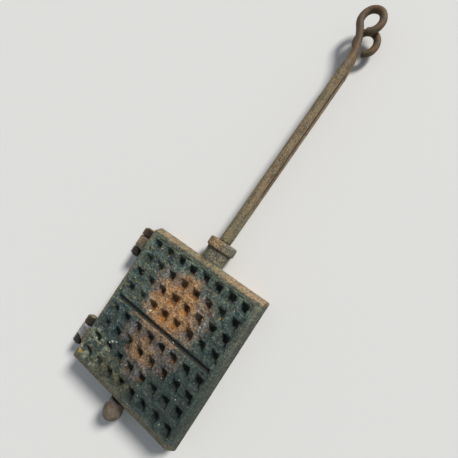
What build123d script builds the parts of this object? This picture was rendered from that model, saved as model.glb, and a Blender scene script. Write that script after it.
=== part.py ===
from build123d import *
import os
from math import atan, cos, degrees, radians, sin, sqrt, tan
from itertools import cycle

os.makedirs("parts", exist_ok=True)

# Cast-iron waffle iron, closed and lying on its base plate, in millimetres.
# X runs from the hinges to the opening side, Y from the knob to the handles, Z up.
# The origin is the centre of the base plate's outer face, which is the face it rests on.

# Plates
face_width = 148.0          # outer face across, X
face_length = 170.0         # outer face along, Y
plate_thickness = 17.0      # outer face to parting face
wall_lean = 4.5             # how far the walls lean out on the way to the parting face
face_corner_radius = 1.8
parting_corner_radius = 1.8
face_edge_radius = 1.2
parting_gap = 0.3           # air left between the two parting faces when closed
face_rim = 4.5              # plain border round the outer face
panel_recess = 1.0          # the pitted panel lies this far under the border

# Baking cavity, one in each plate
cavity_rim = 8.0            # parting face from wall to cavity
web = 5.0                   # iron left between the panel and the cavity floor
cavity_wall_lean = 2.0      # the cavity narrows by this much a side down to its floor

# Pits in the outer face, with a hollow stud over each one inside
columns = 8
rows_per_half = 4
column_pitch = 17.6
row_pitch = 19.0
first_row = 14.6            # first row's distance from the middle groove
pit_opening = 11.0
pit_floor = 3.4
pit_depth = 9.5
stud_wall = 3.1             # iron round a pit
stud_clearance = 3.0        # stud tops stop this far short of the parting face
stud_draft = 19.0           # degrees

# Groove across the outer face, with a dividing rib over it inside
groove_width = 7.0
groove_depth = 4.4
groove_length = 134.0
rib_root = 8.4
rib_crest = 4.0

# Hinges on the long side: two barrels of three knuckles
hinge_distance = 10.2       # barrel axis from the parting edge
barrel_radius = 7.0
hinge_inset = 27.5          # middle of each hinge from its end of the parting face
middle_knuckle = 15.0
outer_knuckle = 8.6
knuckle_gap = 0.8
arm_root = 14.0             # arm's height up the wall, from mid-height
arm_bite = 6.0              # how far an arm reaches into the rim
pin_radius = 3.0
pin_clearance = 0.06
pin_head_radius = 4.4
pin_head_height = 1.6

# Turning neck and collar at the handle end, half on each plate
neck_root_radius = 13.6
neck_end_radius = 14.8
neck_length = 15.5
collar_radius = 17.0
collar_thickness = 11.0
collar_face_radius = 2.6    # edge on the handle side
collar_back_radius = 1.2    # edge over the neck
socket_bite = 4.0           # how far neck and knob reach into the rim

# Knob at the far end, on the base plate
knob_radius = 11.4
knob_distance = 16.5        # ball centre from the parting edge
knob_neck_radius = 10.2
knob_side_offset = -3.0     # the knob sits a little to the hinge side
knob_relief = 1.2           # air between the lid's wall and the neck above the parting face

# Handles: forged rods with a square tang in the neck and a curl at the end.
# A curl is one bend to the hinge side, then an oval of four arcs back to the rod:
# outer side, top, inner side and return.
rod_radius = 5.25
rod_gap = 0.4               # between the two rods when closed
tang_size = 7.0
tang_length = 22.0
tang_clearance = 0.1
tang_end_gap = 0.6
rod_lean = 1.8              # degrees towards the opening side
taper_length = 14.0         # the rod is drawn down to the curl's bar over this length
oval_side_radius = 16.6
oval_end_radius = 11.0
tip_radius = 1.2
lid_rod_length = 227.5      # collar to taper
lid_bar_radius = 4.4
lid_bend_radius = 80.0
lid_bend_turn = 35.0        # degrees
lid_oval_turns = (61.0, 111.0, 76.0, 49.0)   # degrees, closed on to its own neck
base_rod_length = 227.0
base_bar_radius = 4.2
base_bend_radius = 52.0
base_bend_turn = 34.0       # degrees
base_oval_turns = (37.0, 126.0, 67.0, 64.0)  # degrees, left open

# Places worked out from the sizes above
mid_height = plate_thickness + parting_gap / 2
parting_width = face_width + 2 * wall_lean
parting_length = face_length + 2 * wall_lean
wall_y = parting_length / 2
hinge_x = -(parting_width / 2 + hinge_distance)
hinge_length = middle_knuckle + 2 * (knuckle_gap + outer_knuckle)
cavity_floor = panel_recess + web
stud_height = plate_thickness - cavity_floor - stud_clearance
stud_base = pit_opening - (pit_opening - pit_floor) * web / pit_depth + 2 * stud_wall
pit_draft = degrees(atan((pit_opening - pit_floor) / 2 / pit_depth))
cavity_draft = degrees(atan(cavity_wall_lean / (plate_thickness - cavity_floor)))
half_centre = first_row + row_pitch * (rows_per_half - 1) / 2
collar_y = wall_y + neck_length
shoulder_y = collar_y + collar_thickness
rod_offset = rod_radius + rod_gap / 2
parting_plane = Plane.XY.offset(plate_thickness)
mid_plane = Plane.XY.offset(mid_height)
turning_axis = Axis((0, 0, mid_height), (0, 1, 0))
hinge_plane = Plane(origin=(hinge_x, 0, mid_height), x_dir=(1, 0, 0), z_dir=(0, -1, 0))


# Plate with its half neck and half collar: the casting that base and lid share
with BuildPart() as half_casting:
    with BuildSketch(Plane.XY):
        RectangleRounded(face_width, face_length, face_corner_radius)
    with BuildSketch(parting_plane):
        RectangleRounded(parting_width, parting_length, parting_corner_radius)
    loft(ruled=True)
    fillet(faces().sort_by(Axis.Z)[0].edges(), face_edge_radius)

    with BuildSketch(parting_plane):
        Rectangle(parting_width - 2 * cavity_rim, parting_length - 2 * cavity_rim)
    extrude(amount=-(plate_thickness - cavity_floor), taper=cavity_draft, mode=Mode.SUBTRACT)

    with BuildSketch(Plane.XY.offset(cavity_floor)):
        with Locations((0, half_centre), (0, -half_centre)):
            with GridLocations(column_pitch, row_pitch, columns, rows_per_half):
                Rectangle(stud_base, stud_base)
    extrude(amount=stud_height, taper=stud_draft)

    with BuildSketch(Plane.YZ):
        with BuildLine():
            Polyline(
                (-rib_root / 2, cavity_floor),
                (rib_root / 2, cavity_floor),
                (rib_crest / 2, cavity_floor + stud_height),
                (-rib_crest / 2, cavity_floor + stud_height),
                close=True,
            )
        make_face()
    extrude(amount=parting_width / 2 - cavity_rim, both=True)

    with BuildSketch(Plane.XY):
        Rectangle(face_width - 2 * face_rim, face_length - 2 * face_rim)
    extrude(amount=panel_recess, mode=Mode.SUBTRACT)

    with BuildSketch(Plane.XY.offset(panel_recess)):
        with Locations((0, half_centre), (0, -half_centre)):
            with GridLocations(column_pitch, row_pitch, columns, rows_per_half):
                Rectangle(pit_opening, pit_opening)
    extrude(amount=pit_depth, taper=pit_draft, mode=Mode.SUBTRACT)

    with BuildSketch(Plane.YZ):
        with BuildLine():
            Polyline(
                (-groove_width / 2, panel_recess),
                (groove_width / 2, panel_recess),
                (0, panel_recess + groove_depth),
                close=True,
            )
        make_face()
    extrude(amount=groove_length / 2, both=True, mode=Mode.SUBTRACT)


# Half neck and half collar, turned round the axis that the iron is flipped about
with BuildPart() as half_neck:
    with BuildSketch(mid_plane) as neck_profile:
        with BuildLine():
            Polyline(
                (0, wall_y - socket_bite),
                (neck_root_radius, wall_y - socket_bite),
                (neck_root_radius, wall_y),
                (neck_end_radius, collar_y),
                (collar_radius, collar_y),
                (collar_radius, shoulder_y),
                (0, shoulder_y),
                close=True,
            )
        make_face()
        fillet(neck_profile.vertices().group_by(Axis.X)[-1].sort_by(Axis.Y)[-1], collar_face_radius)
        fillet(neck_profile.vertices().group_by(Axis.X)[-1].sort_by(Axis.Y)[0], collar_back_radius)
    revolve(axis=turning_axis)
    split(bisect_by=parting_plane, keep=Keep.BOTTOM)
    tang_hole = tang_size + 2 * tang_clearance
    tang_hole_plane = Plane(
        origin=(0, shoulder_y, mid_height - rod_offset), x_dir=(1, 0, 0), z_dir=(0, -1, 0)
    )
    with BuildSketch(tang_hole_plane):
        Rectangle(tang_hole, tang_hole)
    extrude(amount=tang_length + tang_end_gap, mode=Mode.SUBTRACT)


def knuckle(height_sign, middle_y, length):
    """One knuckle with its arm: height_sign is -1 on the base plate and 1 on the lid."""
    arm_reach = hinge_distance + arm_bite
    arm_top = hinge_distance + wall_lean * arm_root / plate_thickness
    face = height_sign * parting_gap / 2
    root = height_sign * arm_root
    with BuildPart() as piece:
        with BuildSketch(hinge_plane.offset(-middle_y)):
            Circle(barrel_radius)
            with BuildLine():
                Polyline(
                    (0, face),
                    (arm_reach, face),
                    (arm_reach, root),
                    (arm_top, root),
                    (0, height_sign * barrel_radius),
                    close=True,
                )
            make_face()
        extrude(amount=length / 2, both=True)
    return piece.part


def pin_bore(middle_y):
    with BuildPart() as bore:
        with BuildSketch(hinge_plane.offset(-middle_y)):
            Circle(pin_radius + pin_clearance)
        extrude(amount=hinge_length, both=True)
    return bore.part


hinge_middles = [wall_y - hinge_inset, hinge_inset - wall_y]
outer_step = (middle_knuckle + outer_knuckle) / 2 + knuckle_gap
base_knuckles = [
    knuckle(-1, y + side * outer_step, outer_knuckle) for y in hinge_middles for side in (1, -1)
]
lid_knuckles = [knuckle(1, y, middle_knuckle) for y in hinge_middles]
pin_bores = [pin_bore(y) for y in hinge_middles]

# Ball knob on a short neck, opposite the collar
knob_y = -(wall_y + knob_distance)
knob_plane = Plane(origin=(knob_side_offset, 0, mid_height))
knob_axis = Axis((knob_side_offset, 0, mid_height), (0, 1, 0))
with BuildPart() as knob:
    with BuildSketch(knob_plane):
        ball_start = knob_y + sqrt(knob_radius**2 - knob_neck_radius**2)
        with BuildLine():
            Polyline(
                (0, knob_y - knob_radius),
                (0, -wall_y + socket_bite),
                (knob_neck_radius, -wall_y + socket_bite),
                (knob_neck_radius, ball_start),
            )
            ThreePointArc(
                (knob_neck_radius, ball_start), (knob_radius, knob_y), (0, knob_y - knob_radius)
            )
        make_face()
    revolve(axis=knob_axis)
    relief_depth = socket_bite + knob_relief
    with BuildSketch(parting_plane):
        with Locations((knob_side_offset, -wall_y - knob_relief)):
            Rectangle(2 * knob_radius, relief_depth, align=(Align.CENTER, Align.MIN))
    extrude(amount=knob_radius, mode=Mode.SUBTRACT)

# Base plate: rests on its outer face and carries the outer knuckles and the knob
with BuildPart() as base_plate:
    add(half_casting.part)
    add(half_neck.part)
    add(base_knuckles)
    add(knob.part)
    add(pin_bores, mode=Mode.SUBTRACT)

# Lid plate: the same casting turned over, with the middle knuckles
lid_casting = mirror(half_casting.part, about=mid_plane)
lid_neck = mirror(half_neck.part, about=mid_plane)
with BuildPart() as lid_plate:
    add(lid_casting)
    add(lid_neck)
    add(lid_knuckles)
    add(pin_bores, mode=Mode.SUBTRACT)


def handle(height, rod_length, bar_radius, bend_radius, bend_turn, oval_turns):
    """Rod with a square tang at one end and an oval curl at the other, all at one height."""
    lean = radians(rod_lean)
    along = Vector(sin(lean), cos(lean), 0)
    seat = rod_radius * tan(lean)  # the leaning shoulder meets the collar on one side
    shoulder = Vector(0, shoulder_y + seat, height)
    rod_end = shoulder + along * rod_length
    taper_end = rod_end + along * taper_length
    with BuildPart() as piece:
        with BuildSketch(Plane(origin=shoulder, x_dir=(1, 0, 0), z_dir=(0, -1, 0))):
            Rectangle(tang_size, tang_size)
        extrude(amount=tang_length + seat)
        with BuildSketch(Plane(origin=shoulder, z_dir=along)):
            Circle(rod_radius)
        extrude(amount=rod_length)
        with BuildSketch(Plane(origin=rod_end, z_dir=along)):
            Circle(rod_radius)
        with BuildSketch(Plane(origin=taper_end, z_dir=along)):
            Circle(bar_radius)
        loft()
        with BuildLine(Plane.XY.offset(height)) as curl:
            arc = JernArc((taper_end.X, taper_end.Y), (along.X, along.Y), bend_radius, bend_turn)
            for radius, turn in zip(cycle((oval_side_radius, oval_end_radius)), oval_turns):
                arc = JernArc(arc @ 1, arc % 1, radius, -turn)
        with BuildSketch(Plane(origin=taper_end, z_dir=along)):
            Circle(bar_radius)
        sweep(path=curl.line)
        fillet(faces().sort_by_distance(arc @ 1)[0].edges(), tip_radius)
    return piece.part


base_rod = handle(
    mid_height - rod_offset,
    base_rod_length,
    base_bar_radius,
    base_bend_radius,
    base_bend_turn,
    base_oval_turns,
)
lid_rod = handle(
    mid_height + rod_offset,
    lid_rod_length,
    lid_bar_radius,
    lid_bend_radius,
    lid_bend_turn,
    lid_oval_turns,
)

# Handles: each tang is cast into the half neck of its own plate
with BuildPart() as base_handle:
    add(base_rod)

with BuildPart() as lid_handle:
    add(lid_rod)


def hinge_pin(middle_y):
    """Plain pin with a domed head at each end, through one three-knuckle hinge."""
    with BuildPart() as pin:
        with BuildSketch(hinge_plane.offset(-middle_y)):
            Circle(pin_radius)
        extrude(amount=hinge_length / 2, both=True)
        for side in (1, -1):
            head_plane = Plane(
                origin=(hinge_x, middle_y + side * hinge_length / 2, mid_height),
                x_dir=(1, 0, 0),
                z_dir=(0, side, 0),
            )
            with BuildSketch(head_plane):
                Circle(pin_head_radius)
            extrude(amount=pin_head_height)
            rim = faces().sort_by(Axis.Y)[-1 if side == 1 else 0].edges()
            fillet(rim, pin_head_height * 0.7)
    return pin.part


with BuildPart() as handle_end_pin:
    add(hinge_pin(hinge_middles[0]))

with BuildPart() as knob_end_pin:
    add(hinge_pin(hinge_middles[1]))

base_plate.part.label = "base_plate"
lid_plate.part.label = "lid_plate"
base_handle.part.label = "base_handle"
lid_handle.part.label = "lid_handle"
handle_end_pin.part.label = "handle_end_pin"
knob_end_pin.part.label = "knob_end_pin"

export_step(base_plate.part, "parts/base_plate.step")
export_step(lid_plate.part, "parts/lid_plate.step")
export_step(base_handle.part, "parts/base_handle.step")
export_step(lid_handle.part, "parts/lid_handle.step")
export_step(handle_end_pin.part, "parts/handle_end_pin.step")
export_step(knob_end_pin.part, "parts/knob_end_pin.step")
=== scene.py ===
import random

import bmesh
import bpy
from mathutils import Matrix, Vector


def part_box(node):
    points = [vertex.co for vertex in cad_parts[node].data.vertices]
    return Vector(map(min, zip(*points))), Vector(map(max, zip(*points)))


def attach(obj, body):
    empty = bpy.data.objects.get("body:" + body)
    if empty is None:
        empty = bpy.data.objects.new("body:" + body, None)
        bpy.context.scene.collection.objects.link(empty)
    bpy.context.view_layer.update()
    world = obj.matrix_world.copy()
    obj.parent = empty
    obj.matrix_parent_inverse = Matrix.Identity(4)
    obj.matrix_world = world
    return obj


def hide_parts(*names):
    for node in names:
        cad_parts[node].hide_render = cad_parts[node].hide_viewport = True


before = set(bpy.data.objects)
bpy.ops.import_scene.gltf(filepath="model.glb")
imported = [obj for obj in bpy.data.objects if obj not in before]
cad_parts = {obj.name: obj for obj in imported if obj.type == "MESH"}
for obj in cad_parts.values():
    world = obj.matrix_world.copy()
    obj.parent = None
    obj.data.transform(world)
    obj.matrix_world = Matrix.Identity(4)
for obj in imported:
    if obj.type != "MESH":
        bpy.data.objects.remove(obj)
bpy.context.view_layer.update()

mm = 0.001
print("frame loaded:", ", ".join(sorted(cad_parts)))

# the camera stands above the opening side, a little towards the handles
cameraView = {
    "place": (139.3 * mm, 121.9 * mm, 375.0 * mm),
    "right": (0.7816, 0.5463, -0.3010),
    "up": (-0.4995, 0.8372, 0.2225),
    "lens": 27.12,
    "sensor": 36,              # mm, as the lens is
    "nearest": 0.01,           # metres
}


def addCamera():
    right = Vector(cameraView["right"]).normalized()
    back = right.cross(Vector(cameraView["up"])).normalized()
    up = back.cross(right)
    data = bpy.data.cameras.new("viewCamera")
    data.lens = cameraView["lens"]
    data.sensor_width = cameraView["sensor"]
    data.clip_start = cameraView["nearest"]
    camera = bpy.data.objects.new("viewCamera", data)
    bpy.context.scene.collection.objects.link(camera)
    turn = Matrix((right, up, back)).transposed().to_4x4()
    camera.matrix_world = Matrix.Translation(cameraView["place"]) @ turn
    bpy.context.scene.camera = camera


addCamera()
print("camera placed")

# a soft key from beyond the handles, and a dim and slightly blue room
studio = {
    "keyFrom": (0.52, 1.18, 0.95),
    "keyStrength": 3.6,
    "keyAngle": 0.25,          # radians, soft-edged shadows
    "keyColor": (1.0, 0.975, 0.94),
    "roomColor": (0.88, 0.94, 1.0),
    "roomStrength": 0.25,
    "backdropColor": (0.78, 0.79, 0.79),
}


def addLights():
    data = bpy.data.lights.new("keyLight", "SUN")
    data.energy = studio["keyStrength"]
    data.angle = studio["keyAngle"]
    data.color = studio["keyColor"]
    lamp = bpy.data.objects.new("keyLight", data)
    bpy.context.scene.collection.objects.link(lamp)
    lamp.location = studio["keyFrom"]
    lamp.rotation_euler = Vector(studio["keyFrom"]).to_track_quat("Z", "Y").to_euler()
    world = bpy.data.worlds.new("room")
    bpy.context.scene.world = world
    world.use_nodes = True
    nodes, links = world.node_tree.nodes, world.node_tree.links
    room = nodes["Background"]
    room.inputs["Color"].default_value = (*studio["roomColor"], 1)
    room.inputs["Strength"].default_value = studio["roomStrength"]
    backdrop = nodes.new("ShaderNodeBackground")    # what is seen behind the floor
    backdrop.inputs["Color"].default_value = (*studio["backdropColor"], 1)
    ray = nodes.new("ShaderNodeLightPath")
    choose = nodes.new("ShaderNodeMixShader")
    seen = ray.outputs["Is Camera Ray"]
    for kind in ("Is Glossy Ray", "Is Transmission Ray"):
        either = nodes.new("ShaderNodeMath")
        either.operation = "MAXIMUM"
        links.new(seen, either.inputs[0])
        links.new(ray.outputs[kind], either.inputs[1])
        seen = either.outputs[0]
    links.new(seen, choose.inputs[0])
    links.new(room.outputs[0], choose.inputs[1])
    links.new(backdrop.outputs[0], choose.inputs[2])
    links.new(choose.outputs[0], nodes["World Output"].inputs["Surface"])
    bpy.context.scene.view_settings.view_transform = "Standard"


addLights()


def tone(red, green, blue):
    # a screen colour, 0 to 255, turned into the linear one that the shader wants
    values = []
    for value in (red, green, blue):
        share = value / 255
        values.append(share / 12.92 if share <= 0.04045 else ((share + 0.055) / 1.055) ** 2.4)
    return (*values, 1.0)


class Finish:
    # a material and short names for the nodes that it is built from
    def __init__(self, name):
        self.material = bpy.data.materials.new(name)
        self.material.use_nodes = True
        self.nodes = self.material.node_tree.nodes
        self.links = self.material.node_tree.links
        self.shader = self.nodes["Principled BSDF"]
        place = self.add("ShaderNodeTexCoord", {})
        self.object = place.outputs["Object"]
        self.facing = place.outputs["Normal"]
        self.normal = self.split(self.facing)
        self.mm = self.vector("SCALE", self.object, scale=1 / mm)
        self.x, self.y, self.z = self.split(self.mm)

    def add(self, kind, inputs, **settings):
        node = self.nodes.new(kind)
        for key, value in settings.items():
            setattr(node, key, value)
        for key, value in inputs.items():
            if isinstance(value, bpy.types.NodeSocket):
                self.links.new(value, node.inputs[key])
            else:
                node.inputs[key].default_value = value
        return node

    def split(self, vector):
        return self.add("ShaderNodeSeparateXYZ", {0: vector}).outputs[:3]

    def vector(self, operation, first, second=None, scale=None):
        inputs = {0: first}
        if second is not None:
            inputs[1] = second
        if scale is not None:
            inputs["Scale"] = scale
        node = self.add("ShaderNodeVectorMath", inputs, operation=operation)
        return node.outputs["Value" if operation in ("LENGTH", "DOT_PRODUCT") else "Vector"]

    def math(self, operation, first, second=0.0, clamp=False):
        inputs = {0: first, 1: second}
        return self.add("ShaderNodeMath", inputs, operation=operation, use_clamp=clamp).outputs[0]

    def span(self, value, low, high):
        # 0 at low and 1 at high, eased at both ends
        inputs = {"Value": value, "From Min": low, "From Max": high}
        return self.add("ShaderNodeMapRange", inputs, interpolation_type="SMOOTHSTEP").outputs[0]

    def noise(self, size, detail=3, rough=0.55, shift=0.0, stretch=(1, 1, 1)):
        place = {"Vector": self.mm, "Location": (shift, shift, shift), "Scale": stretch}
        moved = self.add("ShaderNodeMapping", place).outputs[0]
        inputs = {"Vector": moved, "Scale": 1 / size, "Detail": detail, "Roughness": rough}
        return self.add("ShaderNodeTexNoise", inputs).outputs["Fac"]

    def cells(self, size, shift=0.0):
        place = {"Vector": self.mm, "Location": (shift, shift, shift)}
        moved = self.add("ShaderNodeMapping", place).outputs[0]
        node = self.add("ShaderNodeTexVoronoi", {"Vector": moved, "Scale": 1 / size})
        return node.outputs["Distance"], node.outputs["Color"]

    def mix(self, amount, first, second, blend="MIX"):
        # sockets 6 and 7 are the two colours
        node = self.add("ShaderNodeMix", {"Factor": amount, 6: first, 7: second},
                        data_type="RGBA", blend_type=blend)
        return node.outputs[2]

    def times(self, *masks):
        result = masks[0]
        for mask in masks[1:]:
            result = self.math("MULTIPLY", result, mask)
        return result

    def strongest(self, masks):
        result = masks[0]
        for mask in masks[1:]:
            result = self.math("MAXIMUM", result, mask)
        return result

    def band(self, value, low, high, soft):
        # 1 between low and high
        rising = self.span(value, low - soft, low + soft)
        return self.times(rising, self.span(value, high + soft, high - soft))

    def oval(self, middle, radii, soft, wander):
        # 1 inside an oval on the plate's face, with an uneven edge
        along = self.math("DIVIDE", self.math("SUBTRACT", self.x, middle[0]), radii[0])
        across = self.math("DIVIDE", self.math("SUBTRACT", self.y, middle[1]), radii[1])
        joined = self.add("ShaderNodeCombineXYZ", {"X": along, "Y": across}).outputs[0]
        distance = self.math("ADD", self.vector("LENGTH", joined), wander)
        return self.span(distance, 1 + soft, 1 - soft)

    def bump(self, *layers):
        # each layer is (height socket, depth in mm)
        normal = None
        for height, depth in layers:
            inputs = {"Height": height, "Strength": 1.0, "Distance": depth * mm}
            if normal is not None:
                inputs["Normal"] = normal
            normal = self.add("ShaderNodeBump", inputs).outputs[0]
        self.links.new(normal, self.shader.inputs["Normal"])

    def finish(self, color, roughness, specular):
        self.links.new(color, self.shader.inputs["Base Color"])
        self.links.new(roughness, self.shader.inputs["Roughness"])
        self.shader.inputs["Specular IOR Level"].default_value = specular
        return self.material


print("lights and shader helpers ready")

plate = {
    "middle": 17.15,               # the parting face, in mm above the floor
    "panel": 16.15,                # the sunk panel of the outer face, from the parting face
}
castColors = {
    "deep": tone(37, 50, 49),
    "slate": tone(80, 94, 89),
    "sage": tone(128, 136, 115),
    "blue": tone(54, 82, 86),
    # dark grains, and painted shade in the pits, the groove and beside the hinge knuckles
    "sootAndShade": tone(23, 27, 26),
    "pitSlopeDark": tone(74, 66, 48),
    "rustDark": tone(84, 62, 50),
    "rust": tone(164, 128, 90),
    "rustPale": tone(194, 168, 130),
    "salt": tone(190, 180, 166),
    "rustGrey": tone(121, 107, 92),
    "rustGreyDark": tone(66, 60, 56),
    "orange": tone(162, 102, 30),
    "wallBeige": tone(164, 139, 104),
    "wallBrown": tone(118, 96, 72),
    "olive": tone(98, 94, 70),
    "rim": tone(116, 106, 86),
    "rimBrown": tone(128, 108, 84),
    "wallGreen": tone(80, 84, 66),
    "wallDark": tone(46, 50, 40),
    "wallMoss": tone(130, 130, 104),
    "foot": tone(94, 84, 66),
    "cream": tone(222, 216, 190),
    "yellow": tone(190, 156, 66),
    "lichen": tone(148, 154, 134),
    "seasoned": tone(34, 30, 28),
    "seasonedPale": tone(62, 54, 46),
    "knob": tone(108, 100, 92),
    "knobDark": tone(86, 69, 48),
    # a painted highlight on the knob's upper left edge
    "knobPaintedSheen": tone(174, 180, 190),
    "collar": tone(158, 132, 98),
    "collarDark": tone(84, 74, 58),
    "neck": tone(127, 125, 107),
    "paleIron": tone(158, 156, 158),
    "brownIron": tone(128, 112, 92),
    "umber": tone(54, 36, 20),
    "umberPale": tone(74, 50, 32),
    "darkIron": tone(38, 32, 30),
    "shade": (0.67, 0.73, 0.81, 1.0),
}
# ovals are a middle and radii in mm, with a strength where there is a third value,
# and drops and stains are x, y and a radius
lidMarks = {
    "rust": [((-2, 32), (38, 35)), ((-3, -20), (36, 24)), ((-2, -46), (15, 15))],
    "core": [((-3, 28), (28, 27), 1.0), ((0, 55), (16, 13), 0.7), ((-9, -31), (22, 13), 0.65),
             ((-8, -16), (22, 9), 0.35), ((-6, -4.5), (40, 5), 0.46)],
    "drops": [(-62, 35, 1.4), (-24, 9, 1.5), (28, -72, 1.1), (-57, -10, 0.8), (-41, -43, 1.5),
              (-37, -41, 1.2), (-44, -46, 1.1), (24, 54, 1.3), (31, 37, 1.2), (34, 29, 1.1),
              (48, 50, 0.9)],
    "fleck": ((-58, -62), (20, 20)),
    "shades": [((-26, -23), (56, 21)), ((-2, -52), (14, 12))],
    "greasy": ((-26, -66), (40, 15)),
    "stains": [(-69, -76, 2.2), (-43, 71, 1.8), (-42, 50, 1.7), (46, 48, 1.1), (-38, 13, 1.2)],
    "shift": 0.0,                  # moves the noises, so that the two castings differ
    "knuckles": ["brownIron", "brownIron", "paleIron", "paleIron"],     # from the handle end
    "paintedKnuckleShade": 0.35,             # how much painted shade darkens the knuckles beside the plate
}
baseMarks = {
    "rust": [((-4, 28), (32, 36)), ((6, -30), (36, 28))],
    "core": [((-6, 30), (20, 22), 0.8), ((8, -28), (24, 16), 0.7)],
    "drops": [(40, 20, 1.4), (-30, -52, 1.2), (12, 66, 1.1)],
    "fleck": ((50, 60), (16, 14)),
    "shades": [((20, 26), (50, 18))],
    "greasy": ((30, -60), (34, 18)),
    "stains": [(60, -70, 2.0), (-26, 44, 1.4)],
    "shift": 310.0,
    "knuckles": ["umberPale", "darkIron", "umber", "darkIron"],
    "paintedKnuckleShade": 0.8,
}
# where each finish starts and is full, in mm from the plate's middle
castPlaces = {
    "plateEnds": (91.0, 90.0),
    "plateHinges": (-80.5, -79.5),
    "panelSides": (72.0, 71.0),
    "panelEnds": (82.0, 81.0),
    "cookingSides": (76.5, 76.0),
    "cookingEnds": (87.5, 87.0),
    "knob": (-90.5, -93.5),
    "neck": (90.5, 92.5),
    "neckShade": (99.5, 104.5),
    "collar": (104.0, 106.0),
    "knuckles": (-79.5, -81.5),
    "knuckleJoints": (62, 0, -62),     # where one knuckle's colour gives way to the next
    "groove": (3.6, 2.4),
    "handleEnd": (81.5, 86.5),
    "knobEnd": (77.5, 83.5),
    "hingeEdge": (68.0, 75.0),
    "sideWalls": (75.2, 76.2),
}
# the four noises that the casting's finish is made of: size in mm, detail, roughness, shift
castNoises = {
    "broad": (26, 3, 0.6, 0),
    "patch": (8, 4, 0.65, 17),
    "grain": (2.6, 4, 0.7, 31),
    "fine": (1.1, 3, 0.7, 43),
}
castSurface = {
    "patchDepth": 0.9,             # bump, in mm
    "grainDepth": 1.2,
    "fineDepth": 0.7,
    "roughness": 0.78,
    "rubbedGrain": 0.4,            # how much smoother the highest grains are
    "rubbedKnob": 0.2,
    "specular": 0.3,
}


def readCasting(iron, shift):
    # the noises and places that every coat of the casting's finish works from
    for name, (size, detail, rough, own) in castNoises.items():
        setattr(iron, name, iron.noise(size, detail, rough, shift + own))
    fromMiddle = iron.math("SUBTRACT", iron.z, plate["middle"])
    iron.height = iron.math("ABSOLUTE", fromMiddle)
    iron.depth = iron.math("SUBTRACT", plate["panel"], iron.height)
    iron.acrossX = iron.math("ABSOLUTE", iron.x)
    iron.acrossY = iron.math("ABSOLUTE", iron.y)
    outward = iron.math("MULTIPLY", iron.normal[2], iron.math("SIGN", fromMiddle))
    iron.outside = iron.span(outward, -0.12, 0.04)
    iron.inside = iron.times(iron.math("SUBTRACT", 1.0, iron.outside),
                             iron.span(iron.acrossX, *castPlaces["cookingSides"]),
                             iron.span(iron.acrossY, *castPlaces["cookingEnds"]))
    iron.onPlate = iron.times(iron.span(iron.acrossY, *castPlaces["plateEnds"]),
                              iron.span(iron.x, *castPlaces["plateHinges"]))
    iron.onPanel = iron.times(iron.outside, iron.span(iron.acrossX, *castPlaces["panelSides"]),
                              iron.span(iron.acrossY, *castPlaces["panelEnds"]))
    iron.outerFace = iron.times(iron.onPlate, iron.outside)
    iron.onKnob = iron.span(iron.y, *castPlaces["knob"])
    iron.wander = iron.math("SUBTRACT", iron.math("ADD", iron.patch, iron.broad), 1.0)


def bareIron(iron, marks):
    # dark blue-green with paler mottling, and painted shade that darkens it towards the knob end of
    # the opening side
    c = castColors
    color = iron.mix(iron.span(iron.patch, 0.38, 0.58), c["deep"], c["slate"])
    color = iron.mix(iron.times(iron.span(iron.broad, 0.5, 0.62), 0.6), color, c["blue"])
    tint = iron.noise(5, 2, 0.55, 71)               # where it has browned or blued in spots
    nearHinges = iron.times(iron.span(iron.x, 20.0, -50.0), 0.3)
    spots = iron.math("ADD", 0.4, nearHinges)
    color = iron.mix(iron.times(iron.span(tint, 0.52, 0.64), spots), color, c["olive"])
    color = iron.mix(iron.times(iron.span(tint, 0.46, 0.36), spots), color, c["blue"])
    color = iron.mix(iron.times(iron.span(iron.grain, 0.5, 0.68), 0.6), color, c["sage"])
    color = iron.mix(iron.times(iron.span(iron.fine, 0.52, 0.66), 0.3), color, c["sage"])
    color = iron.mix(iron.times(iron.span(iron.grain, 0.48, 0.30), 0.85), color, c["sootAndShade"])
    color = iron.mix(iron.times(iron.span(iron.fine, 0.47, 0.32), 0.6), color, c["sootAndShade"])
    # painted shade: the light falling off towards the knob end of the opening side
    towards = iron.math("SUBTRACT", iron.math("MULTIPLY", iron.x, 0.5), iron.y)
    uneven = iron.math("MULTIPLY", iron.wander, 60.0)
    paintedFalloff = iron.span(iron.math("ADD", towards, uneven), -60, 90)
    color = iron.mix(iron.times(paintedFalloff, 0.8), color, c["deep"])
    greasy = iron.oval(*marks["greasy"], 0.4, iron.wander)
    greasy = iron.times(greasy, iron.span(iron.patch, 0.4, 0.55), 0.6)
    return iron.mix(greasy, color, c["olive"])


def speckle(iron, mask, edge):
    # a soft mask broken into grains
    both = iron.math("SUBTRACT", iron.math("ADD", iron.grain, iron.fine), 1.0)
    grains = iron.math("MULTIPLY", both, 1.1)
    return iron.span(iron.math("ADD", mask, grains), 0.5 - edge, 0.5 + edge)


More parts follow.
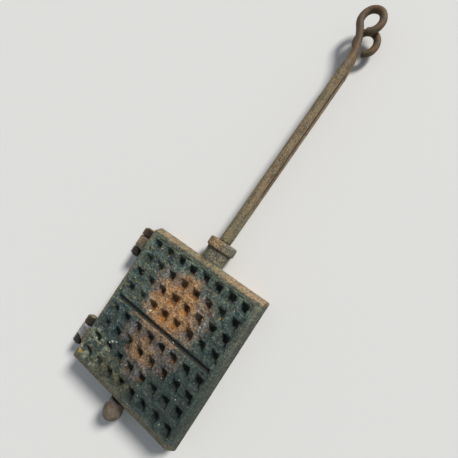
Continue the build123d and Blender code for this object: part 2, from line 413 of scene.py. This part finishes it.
def middleRust(iron, color, marks):
    # greyish brown rust in the middle of each half, warmer at its heart, with a painted highlight on
    # the slopes that face the key light
    c = castColors
    ring = iron.strongest([iron.oval(middle, radii, 0.3, iron.wander)
                           for middle, radii in marks["rust"]])
    core = iron.strongest([iron.times(iron.oval(middle, radii, 0.4, iron.wander), strength)
                           for middle, radii, strength in marks["core"]])
    grey = iron.mix(iron.span(iron.grain, 0.34, 0.56), c["rustGreyDark"], c["rustGrey"])
    grey = iron.mix(iron.times(iron.span(iron.fine, 0.54, 0.70), 0.45), grey, c["salt"])
    tan = iron.mix(iron.span(iron.grain, 0.26, 0.56), c["rustDark"], c["rust"])
    tan = iron.mix(iron.times(iron.span(iron.fine, 0.52, 0.72), 0.4), tan, c["rustPale"])
    iron.rusty = iron.math("MAXIMUM", iron.times(ring, 0.45), core)
    iron.rusty = iron.times(iron.rusty, iron.outerFace)
    # painted highlight: paler grey on the rusty slopes that face the key light
    rubbedAndPaintedLight = iron.times(iron.span(iron.normal[0], 0.05, 0.3), iron.span(iron.patch, 0.4, 0.55), 0.55)
    grey = iron.mix(rubbedAndPaintedLight, grey, c["paleIron"])
    covered = iron.math("ADD", 0.72, iron.times(iron.span(iron.y, -20.0, 20.0), 0.23))
    color = iron.mix(iron.times(speckle(iron, ring, 0.3), iron.outerFace, covered), color, grey)
    return iron.mix(iron.times(speckle(iron, core, 0.35), iron.outerFace), color, tan)


def pitsAndGroove(iron, color):
    # darker on the pit slopes that face the handles, orange rust on the slopes, made bright as
    # painted light on those that face away from the key light, and painted shade at the bottom of
    # the pits and in the groove
    c = castColors
    inPit = iron.times(iron.span(iron.depth, 0.6, 2.6), iron.onPanel)
    farSlope = iron.span(iron.normal[1], 0.15, 0.5)
    sideSlope = iron.span(iron.normal[0], -0.15, -0.5)
    darkened = iron.mix(0.55, color, c["pitSlopeDark"], "MULTIPLY")
    color = iron.mix(iron.times(inPit, farSlope, 0.7), color, darkened)
    rustiest = iron.span(iron.noise(20, 1, 0.5, 33), 0.44, 0.58)    # some pits more than others
    farRust = iron.times(farSlope, iron.math("ADD", 0.15, iron.times(rustiest, 0.5)))
    # orange rust on the pit slopes, made bright as painted light on the slopes that face away from
    # the key light
    orange = iron.times(inPit, iron.math("MAXIMUM", sideSlope, farRust), iron.rusty)
    color = iron.mix(iron.times(orange, 0.9), color, c["orange"])
    # painted shade at the bottom of the pits and in the groove
    uneven = iron.math("MULTIPLY", iron.math("SUBTRACT", iron.patch, 0.5), 4.0)
    low = iron.math("ADD", iron.depth, uneven)
    spared = iron.math("SUBTRACT", 0.38, iron.times(orange, 0.3))
    sootAndShade = iron.times(iron.span(low, 3.0, 9.0), iron.onPanel, spared)
    inGroove = iron.times(iron.span(iron.acrossY, *castPlaces["groove"]),
                          iron.span(iron.depth, 0.8, 3.0), iron.onPanel, 0.85)
    return iron.mix(iron.math("MAXIMUM", sootAndShade, inGroove), color, c["sootAndShade"])


def wallsAndRims(iron, color):
    # beige towards the handles, a thin worn line and a brown foot at the rims, dark green walls
    c = castColors
    uneven = iron.math("MULTIPLY", iron.math("SUBTRACT", iron.patch, 0.5), 9.0)
    toHandle = iron.span(iron.math("ADD", iron.y, uneven), *castPlaces["handleEnd"])
    beige = iron.mix(iron.span(iron.grain, 0.36, 0.6), c["wallBrown"], c["wallBeige"])
    beige = iron.mix(iron.times(iron.span(iron.fine, 0.46, 0.3), 0.5), beige, c["rustGreyDark"])
    drab = iron.times(iron.span(iron.x, 0.0, -90.0), iron.span(iron.patch, 0.42, 0.58), 0.8)
    beige = iron.mix(drab, beige, c["rim"])
    moss = iron.mix(iron.span(iron.grain, 0.4, 0.56), c["wallGreen"], c["wallMoss"])
    mossy = iron.band(iron.x, -38.0, 26.0, 16.0)    # round the foot of the neck
    mossy = iron.times(mossy, iron.span(iron.patch, 0.42, 0.54), 0.75)
    beige = iron.mix(mossy, beige, moss)
    aboveSeam = iron.math("SUBTRACT", iron.height, iron.math("MULTIPLY", uneven, 0.3))
    strength = iron.math("ADD", 0.3, iron.times(iron.span(aboveSeam, -0.6, 1.6), 0.6))
    color = iron.mix(iron.times(toHandle, iron.outerFace, strength), color, beige)
    ledge = iron.times(iron.band(iron.acrossY, 77.5, 81.5, 1.5), iron.span(iron.y, 0.0, 10.0))
    ledge = iron.math("MAXIMUM", ledge, iron.times(iron.band(iron.acrossX, 69.0, 73.5, 1.5), 0.2))
    color = iron.mix(iron.times(ledge, iron.outerFace, 0.55), color, c["sage"])
    side = iron.math("ADD", iron.acrossX, iron.math("MULTIPLY", uneven, 0.15))
    line = iron.times(iron.band(side, 73.9, 75.0, 0.5), iron.span(iron.grain, 0.38, 0.52))
    worn = iron.times(iron.onPlate, iron.span(iron.height, 6.0, 12.0))
    worn = iron.times(worn, iron.span(iron.y, -10.0, 50.0), 0.6)
    color = iron.mix(iron.times(line, worn), color, c["rimBrown"])
    toKnob = iron.math("SUBTRACT", iron.math("MULTIPLY", iron.y, -1.0), uneven)
    foot = iron.times(iron.span(toKnob, *castPlaces["knobEnd"]), iron.onPlate,
                      iron.span(iron.height, 2.0, 8.0), 0.6)
    color = iron.mix(foot, color, c["foot"])
    hingeEdge = iron.span(iron.math("SUBTRACT", uneven, iron.x), *castPlaces["hingeEdge"])
    rusted = iron.times(hingeEdge, iron.onPlate, iron.span(iron.broad, 0.42, 0.54), 0.7)
    color = iron.mix(rusted, color, c["rimBrown"])
    wall = iron.times(iron.span(iron.acrossX, *castPlaces["sideWalls"]), iron.onPlate, 0.65)
    green = iron.mix(iron.span(iron.grain, 0.4, 0.6), c["wallDark"], c["wallGreen"])
    return iron.mix(wall, color, green)


def cookingSide(iron, color):
    # oiled and blackened, a little rusty, with the meeting edges rubbed paler
    c = castColors
    oiled = iron.mix(iron.span(iron.patch, 0.42, 0.62), c["seasoned"], c["seasonedPale"])
    rusted = iron.times(iron.span(iron.broad, 0.54, 0.66), iron.span(iron.grain, 0.46, 0.6), 0.5)
    oiled = iron.mix(rusted, oiled, c["rustDark"])
    oiled = iron.mix(iron.times(iron.span(iron.height, 1.6, 0.8), 0.4), oiled, c["slate"])
    return iron.mix(iron.inside, color, oiled)


def knobAndNeck(iron, color):
    c = castColors
    knob = iron.mix(iron.span(iron.patch, 0.4, 0.62), c["knobDark"], c["knob"])
    hingeward = iron.vector("DOT_PRODUCT", iron.facing, (-0.78, -0.55, 0.30))
    handleward = iron.vector("DOT_PRODUCT", iron.facing, (-0.50, 0.84, 0.22))
    paintedSheen = iron.times(iron.span(hingeward, 0.70, 0.84), iron.span(handleward, -0.45, -0.1), 0.8)
    knob = iron.mix(paintedSheen, knob, c["knobPaintedSheen"])      # painted highlight: a pale blue-grey sheen along the knob's upper left edge
    color = iron.mix(iron.onKnob, color, knob)
    neck = iron.mix(iron.span(iron.grain, 0.38, 0.6), c["collarDark"], c["neck"])
    shaded = iron.times(iron.span(iron.y, *castPlaces["neckShade"]), 0.6)
    neck = iron.mix(shaded, neck, c["deep"])
    collar = iron.mix(iron.span(iron.grain, 0.34, 0.56), c["collarDark"], c["collar"])
    opening = iron.span(iron.math("ADD", iron.x, iron.times(iron.wander, 20.0)), 0, 14)
    collar = iron.mix(iron.times(opening, 0.7), collar, c["slate"])
    neck = iron.mix(iron.span(iron.y, *castPlaces["collar"]), neck, collar)
    return iron.mix(iron.span(iron.y, *castPlaces["neck"]), color, neck)


def hingeKnuckles(iron, color, marks):
    # each knuckle has its own colour, with painted shade beside the plate and a painted highlight on
    # its outer side
    c = castColors
    knuckle = c[marks["knuckles"][0]]
    for key, below in zip(marks["knuckles"][1:], castPlaces["knuckleJoints"]):
        knuckle = iron.mix(iron.span(iron.y, below + 1, below - 1), knuckle, c[key])
    knuckle = iron.mix(iron.times(iron.span(iron.grain, 0.5, 0.64), 0.6), knuckle, c["darkIron"])
    # painted highlight on the knuckles' outer side
    knuckle = iron.mix(iron.times(iron.span(iron.x, -89.5, -93.5), 0.5), knuckle, c["neck"])
    # painted shade beside the plate
    shaded = iron.times(iron.span(iron.x, -90.0, -84.5), marks["paintedKnuckleShade"])
    knuckle = iron.mix(shaded, knuckle, c["sootAndShade"])
    return iron.mix(iron.span(iron.x, *castPlaces["knuckles"]), color, knuckle)


def oldBatter(iron, color, marks):
    # flecks and pale bloom at one corner, tiny glints, single drops and yellow stains
    c = castColors
    corner = iron.oval(*marks["fleck"], 0.45, iron.wander)
    bloom = iron.times(speckle(iron, corner, 0.3), iron.span(iron.patch, 0.46, 0.6))
    color = iron.mix(iron.times(bloom, iron.outside, 0.65), color, c["lichen"])
    near, cell = iron.cells(2.2, marks["shift"])
    pick = iron.split(cell)
    fleck = iron.times(corner, iron.span(near, 0.38, 0.24), iron.span(pick[0], 0.8, 0.86))
    flecked = iron.mix(pick[1], c["yellow"], c["cream"])
    color = iron.mix(iron.times(fleck, iron.outside, 0.6), color, flecked)
    near, cell = iron.cells(1.5, marks["shift"] + 5)
    fewer = iron.math("MULTIPLY", iron.span(iron.broad, 0.56, 0.46), 0.1)
    clusters = iron.span(iron.math("SUBTRACT", iron.split(cell)[0], fewer), 0.95, 0.97)
    glint = iron.times(iron.span(near, 0.42, 0.25), clusters, iron.onPanel)
    color = iron.mix(iron.times(glint, 0.7), color, c["cream"])
    ragged = iron.math("MULTIPLY", iron.wander, 0.5)
    drops = iron.strongest([iron.oval((dropX, dropY), (radius, radius * 0.8), 0.35, ragged)
                            for dropX, dropY, radius in marks["drops"]])
    drops = iron.times(drops, iron.outside, iron.span(iron.height, 5.0, 7.0), 0.75)
    color = iron.mix(drops, color, c["cream"])
    for stainX, stainY, radius in marks["stains"]:
        stain = iron.oval((stainX, stainY), (radius, radius), 0.5, iron.wander)
        color = iron.mix(iron.times(stain, iron.outside, 0.75), color, c["yellow"])
    return color


def mottle(iron, color, marks):
    # painted shade in darker, bluer ovals, lumps of dirt a finger's width across, and grit over all
    # of it
    for middle, radii in marks["shades"]:
        shaded = iron.times(iron.oval(middle, radii, 0.3, iron.wander), iron.onPanel)
        color = iron.mix(shaded, color, castColors["shade"], "MULTIPLY")
    lumps = (iron.noise(10, 2, 0.5, 90), 0.80, 1.22)
    grit = (iron.noise(1.6, 1, 0.5, 57), 0.64, 1.42)
    strength = iron.math("SUBTRACT", 1.0, iron.times(iron.onKnob, 0.65))    # the knob is smoother
    for noise, darkest, palest in (lumps, grit):
        inputs = {"Value": noise, "From Min": 0.34, "From Max": 0.66,
                  "To Min": darkest, "To Max": palest}
        shade = iron.add("ShaderNodeMapRange", inputs).outputs[0]
        grey = iron.add("ShaderNodeCombineXYZ", {"X": shade, "Y": shade, "Z": shade}).outputs[0]
        color = iron.mix(strength, color, grey, "MULTIPLY")
    return color


def castIron(name, marks):
    iron = Finish(name)
    readCasting(iron, marks["shift"])
    color = bareIron(iron, marks)
    color = middleRust(iron, color, marks)
    color = pitsAndGroove(iron, color)
    color = wallsAndRims(iron, color)
    color = cookingSide(iron, color)
    color = knobAndNeck(iron, color)
    color = hingeKnuckles(iron, color, marks)
    color = oldBatter(iron, color, marks)
    color = mottle(iron, color, marks)
    iron.bump((iron.patch, castSurface["patchDepth"]), (iron.grain, castSurface["grainDepth"]),
              (iron.fine, castSurface["fineDepth"]))
    rubbedAndPaintedLight = iron.times(iron.span(iron.fine, 0.45, 0.7), castSurface["rubbedGrain"])
    roughness = iron.math("SUBTRACT", castSurface["roughness"], rubbedAndPaintedLight)
    polished = iron.times(iron.onKnob, castSurface["rubbedKnob"])
    roughness = iron.math("SUBTRACT", roughness, polished, clamp=True)
    return iron.finish(color, roughness, castSurface["specular"])


rodColors = {
    "dark": tone(76, 68, 52),
    "brown": tone(129, 111, 84),
    "olive": tone(154, 145, 115),
    "rust": tone(136, 106, 76),
    # dark grains, and painted shade in the creases of the rods
    "sootAndShade": tone(34, 28, 24),
    # painted shade in the gap between the two rods
    "paintedGapShade": tone(58, 40, 28),
    "moss": tone(128, 130, 102),
    "mossDark": tone(66, 72, 58),
    "worn": tone(92, 63, 32),
    "wornDark": tone(68, 55, 38),
}
rodSurface = {
    "mossFrom": (190, 120),        # y in mm, where it starts and where it is full
    "handledFrom": (335, 385),
    "seamAlong": (175, 358, 20),   # from, to, and how softly it ends
    "crevice": 4,                  # how far the painted shade reaches round an inner corner, in mm
    "streakDepth": 0.4,            # bump, in mm
    "grainDepth": 0.7,
    "roughness": 0.5,
    "specular": 0.3,
}


def forgedIron(name, shift, seamSide=0):
    # seamSide is 1 where the other rod lies above, -1 where it lies below, and 0 for a pin
    iron = Finish(name)
    c = rodColors
    streak = iron.noise(5, 4, 0.6, shift, (1, 0.35, 1))
    grain = iron.noise(1.6, 3, 0.7, shift + 13)
    patch = iron.noise(16, 3, 0.6, shift + 29)
    color = iron.mix(iron.span(streak, 0.34, 0.58), c["dark"], c["brown"])
    color = iron.mix(iron.times(iron.span(grain, 0.48, 0.64), 0.7), color, c["olive"])
    color = iron.mix(iron.times(iron.span(patch, 0.52, 0.66), 0.4), color, c["rust"])
    color = iron.mix(iron.times(iron.span(grain, 0.46, 0.32), 0.75), color, c["sootAndShade"])
    mossy = iron.span(iron.y, *rodSurface["mossFrom"])
    mossy = iron.times(mossy, iron.span(patch, 0.40, 0.54), 0.6)
    moss = iron.mix(iron.span(grain, 0.44, 0.56), c["mossDark"], c["moss"])
    color = iron.mix(mossy, color, moss)
    # the curled ends are rubbed smooth and dark
    handled = iron.times(iron.span(iron.y, *rodSurface["handledFrom"]), 0.85)
    color = iron.mix(handled, color, iron.mix(iron.span(patch, 0.4, 0.6), c["worn"], c["wornDark"]))
    # painted shade in creases and inner corners, and where the two rods meet
    reach = {"Distance": rodSurface["crevice"] * mm}
    openness = iron.add("ShaderNodeAmbientOcclusion", reach, samples=8).outputs["AO"]
    darkened = iron.times(iron.span(openness, 0.72, 0.25), 0.85)
    color = iron.mix(darkened, color, c["sootAndShade"])
    # painted shade on the sides where the two rods lie against each other
    paintedGapShade = iron.span(iron.math("MULTIPLY", iron.normal[2], seamSide), 0.5, 0.68)
    paintedGapShade = iron.times(paintedGapShade, iron.band(iron.y, *rodSurface["seamAlong"]), 0.92)
    color = iron.mix(paintedGapShade, color, c["paintedGapShade"])
    iron.bump((streak, rodSurface["streakDepth"]), (grain, rodSurface["grainDepth"]))
    roughness = iron.math("ADD", rodSurface["roughness"], iron.times(grain, 0.4))
    roughness = iron.math("SUBTRACT", roughness, iron.times(handled, 0.2), clamp=True)
    return iron.finish(color, roughness, rodSurface["specular"])


meshing = {
    "weld": 0.005,                 # mm, joins the loose triangles of a solid
    "softening": 0.5,              # how far each smoothing step goes
    "cloudTop": 0.72,              # no value of the cloud texture is above this
    "cloudDepth": 2,
}


def selectOnly(piece):
    bpy.ops.object.select_all(action="DESELECT")
    piece.select_set(True)
    bpy.context.view_layer.objects.active = piece


def copyNode(nodeName, pieceName):
    selectOnly(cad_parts[nodeName])
    bpy.ops.object.duplicate()
    piece = bpy.context.view_layer.objects.active
    piece.name = pieceName
    piece.parent = None
    for key in list(piece.keys()):
        del piece[key]
    piece.data.materials.clear()
    bpy.ops.object.mode_set(mode="EDIT")
    bpy.ops.mesh.select_all(action="SELECT")
    bpy.ops.mesh.remove_doubles(threshold=meshing["weld"] * mm)
    bpy.ops.object.mode_set(mode="OBJECT")
    return piece


def applyModifier(piece, kind, **values):
    selectOnly(piece)
    modifier = piece.modifiers.new(kind.lower(), kind)
    for key, value in values.items():
        setattr(modifier, key, value)
    bpy.ops.object.modifier_apply(modifier=modifier.name)


def evenOut(piece, values):
    # an even mesh, with its sharp edges softened
    applyModifier(piece, "REMESH", mode="VOXEL", voxel_size=values["voxel"] * mm)
    applyModifier(piece, "SMOOTH", factor=meshing["softening"], iterations=values["smoothTimes"])


def roughen(piece, layers, level=meshing["cloudTop"], group=""):
    # with the level at the top of the cloud, nothing grows past the iron's own size
    for size, depth in layers:
        texture = bpy.data.textures.new(f"grain{size}", "CLOUDS")
        texture.noise_scale = size * mm
        texture.noise_depth = meshing["cloudDepth"]
        applyModifier(piece, "DISPLACE", texture=texture, texture_coords="LOCAL", mid_level=level,
                      strength=depth * mm, vertex_group=group)


def coat(piece, material):
    selectOnly(piece)
    bpy.ops.object.shade_smooth()
    piece.data.materials.append(material)


def triangles(piece):
    return sum(len(face.vertices) - 2 for face in piece.data.polygons)


def thin(piece, most):
    count = triangles(piece)
    if count > most:
        applyModifier(piece, "DECIMATE", ratio=most / count)


casting = {
    "columns": [17.6 * (i - 3.5) for i in range(8)],
    "rows": [side * (14.6 + 19.0 * i) for side in (1, -1) for i in range(4)],
    "panelDepth": 1.0,
    "pitOpening": 11.0,
    "openingLoose": (0.35, 0.08, 0.0),     # how far it drifts in mm, swells, and rises in mm
    "floorDepth": 10.5,
    "pitFloor": 3.4,
    "floorLoose": (0.6, 0.30, 0.8),
    "pitStretch": 1.07,
    "clogged": 2.2,                        # old batter fills the pits beside the hinges a little
    "cloggedBefore": -40.0,
    "voxel": 0.8,                          # mm
    "smoothTimes": 2,
    "panelReach": (70.5, 80.5),            # the part that is roughened, from the panel's middle
    "panelFrom": -0.4,                     # and in depth, from above the panel to below the pits
    "panelTo": 12,
    "rimDepth": 3,
    "grooveLand": 5.0,                     # the groove's own edges stay crisp
    "wornRims": 5,
    "panelRelief": [(8, 3.6), (3.2, 1.8)],     # size and depth in mm
    "panelLevel": 0.55,
    "skin": 0.1,                           # bumps are flattened this far below the outer face
    "grain": [(28, 0.4), (2.4, 0.35)],
    "mostTriangles": 190000,
}


def loosenPits(piece, faceHeight, inward, seed):
    # no two pits of the old casting are quite alike
    random.seed(seed)
    selectOnly(piece)
    bpy.ops.object.mode_set(mode="EDIT")
    mesh = bmesh.from_edit_mesh(piece.data)
    levels = [(casting["panelDepth"], casting["pitOpening"] / 2, *casting["openingLoose"]),
              (casting["floorDepth"], casting["pitFloor"] / 2, *casting["floorLoose"])]
    close = 0.1                            # mm, for finding the corners of a pit
    for pitX in casting["columns"]:
        for pitY in casting["rows"]:
            for depth, half, drift, swell, rise in levels:
                height = faceHeight + inward * depth
                atFloor = depth == casting["floorDepth"]
                clogged = casting["clogged"] if atFloor and pitX < casting["cloggedBefore"] else 0
                middle = Vector((pitX, pitY, height)) * mm
                for vertex in mesh.verts:
                    offset = (vertex.co - middle) / mm
                    sideways = max(abs(offset.x), abs(offset.y))
                    vertex.select = abs(offset.z) < close and sideways < half + close
                mesh.select_flush_mode()
                move = [random.uniform(-drift, drift) * mm for _ in range(2)]
                move.append((random.uniform(-rise, rise) - clogged * inward) * mm)
                wide, long = [1 + random.uniform(-swell, swell) for _ in range(2)]
                long *= casting["pitStretch"]
                bpy.ops.transform.resize(value=(wide, long, 1), center_override=middle)
                bpy.ops.transform.translate(value=move)
    bpy.ops.object.mode_set(mode="OBJECT")


def markPanel(piece):
    # the sunk panel of the outer face with its pits, and the rims of those pits
    places = {"panel": [], "rims": []}
    reachX, reachY = casting["panelReach"]
    for vertex in piece.data.vertices:
        x, y, z = vertex.co / mm
        depth = plate["panel"] - abs(z - plate["middle"])
        outside = vertex.normal.z * (z - plate["middle"]) > 0
        sunk = casting["panelFrom"] < depth < casting["panelTo"]
        onPanel = abs(x) < reachX and casting["grooveLand"] < abs(y) < reachY
        if outside and sunk and onPanel:
            places["panel"].append(vertex.index)
            if depth < casting["rimDepth"]:
                places["rims"].append(vertex.index)
    for name, indices in places.items():
        piece.vertex_groups.new(name=name).add(indices, 1.0, "REPLACE")


def flattenAbove(piece, faceHeight, inward):
    # no bump of the panel stands above its rim
    selectOnly(piece)
    bpy.ops.object.mode_set(mode="EDIT")
    mesh = bmesh.from_edit_mesh(piece.data)
    for vertex in mesh.verts:
        vertex.select = (vertex.co.z / mm - faceHeight) * inward < casting["skin"]
    mesh.select_flush_mode()
    level = (0, 0, (faceHeight + casting["skin"] * inward) * mm)
    bpy.ops.transform.resize(value=(1, 1, 0), center_override=level)
    bpy.ops.object.mode_set(mode="OBJECT")


def makeCasting(nodeName, pieceName, body, marks, faceHeight, inward, seed):
    piece = copyNode(nodeName, pieceName)
    loosenPits(piece, faceHeight, inward, seed)
    evenOut(piece, casting)
    markPanel(piece)
    applyModifier(piece, "SMOOTH", factor=meshing["softening"], iterations=casting["wornRims"],
                  vertex_group="rims")
    roughen(piece, casting["panelRelief"], casting["panelLevel"], "panel")
    flattenAbove(piece, faceHeight, inward)
    roughen(piece, casting["grain"])
    print(pieceName, "has", triangles(piece), "triangles before thinning")
    thin(piece, casting["mostTriangles"])
    coat(piece, castIron(f"{pieceName}Iron", marks))
    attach(piece, body)
    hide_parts(nodeName)
    print(pieceName, "cast,", triangles(piece), "triangles")


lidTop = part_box("lid_plate")[1].z / mm
makeCasting("base_plate", "baseCasting", "base", baseMarks, 0.0, 1, 4)
makeCasting("lid_plate", "lidCasting", "lid", lidMarks, lidTop, -1, 9)

rod = {
    "voxel": 0.6,
    "smoothTimes": 3,
    "grain": [(14, 0.3), (4, 0.25)],       # size and depth in mm
}


def makeRod(nodeName, pieceName, body, shift, seamSide):
    piece = copyNode(nodeName, pieceName)
    evenOut(piece, rod)
    roughen(piece, rod["grain"])
    coat(piece, forgedIron(f"{pieceName}Iron", shift, seamSide))
    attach(piece, body)
    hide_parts(nodeName)
    print(pieceName, "forged,", triangles(piece), "triangles")


makeRod("base_handle", "baseRod", "base", 70.0, 1)
makeRod("lid_handle", "lidRod", "lid", 0.0, -1)

pin = {
    "voxel": 0.4,
    "smoothTimes": 2,
    "grain": [(3, 0.2)],
}


def makePin(nodeName, pieceName, shift):
    piece = copyNode(nodeName, pieceName)
    evenOut(piece, pin)
    roughen(piece, pin["grain"])
    coat(piece, forgedIron(f"{pieceName}Iron", shift))
    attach(piece, "base")
    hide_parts(nodeName)
    print(pieceName, "fitted,", triangles(piece), "triangles")


makePin("handle_end_pin", "handleEndPin", 140.0)
makePin("knob_end_pin", "knobEndPin", 210.0)

floorPlan = {
    "size": 30.0,                          # metres, past what any view sees
    "color": (0.80, 0.80, 0.79, 1),
    "roughness": 0.9,
}


def makeFloor():
    bpy.ops.object.select_all(action="DESELECT")
    bpy.ops.mesh.primitive_plane_add(size=floorPlan["size"], location=(0, 0, 0))
    floor = bpy.context.object
    floor.name = "floor"
    material = bpy.data.materials.new("paleFloor")
    material.use_nodes = True
    shader = material.node_tree.nodes["Principled BSDF"]
    shader.inputs["Base Color"].default_value = floorPlan["color"]
    shader.inputs["Roughness"].default_value = floorPlan["roughness"]
    floor.data.materials.append(material)


makeFloor()
print("floor laid")
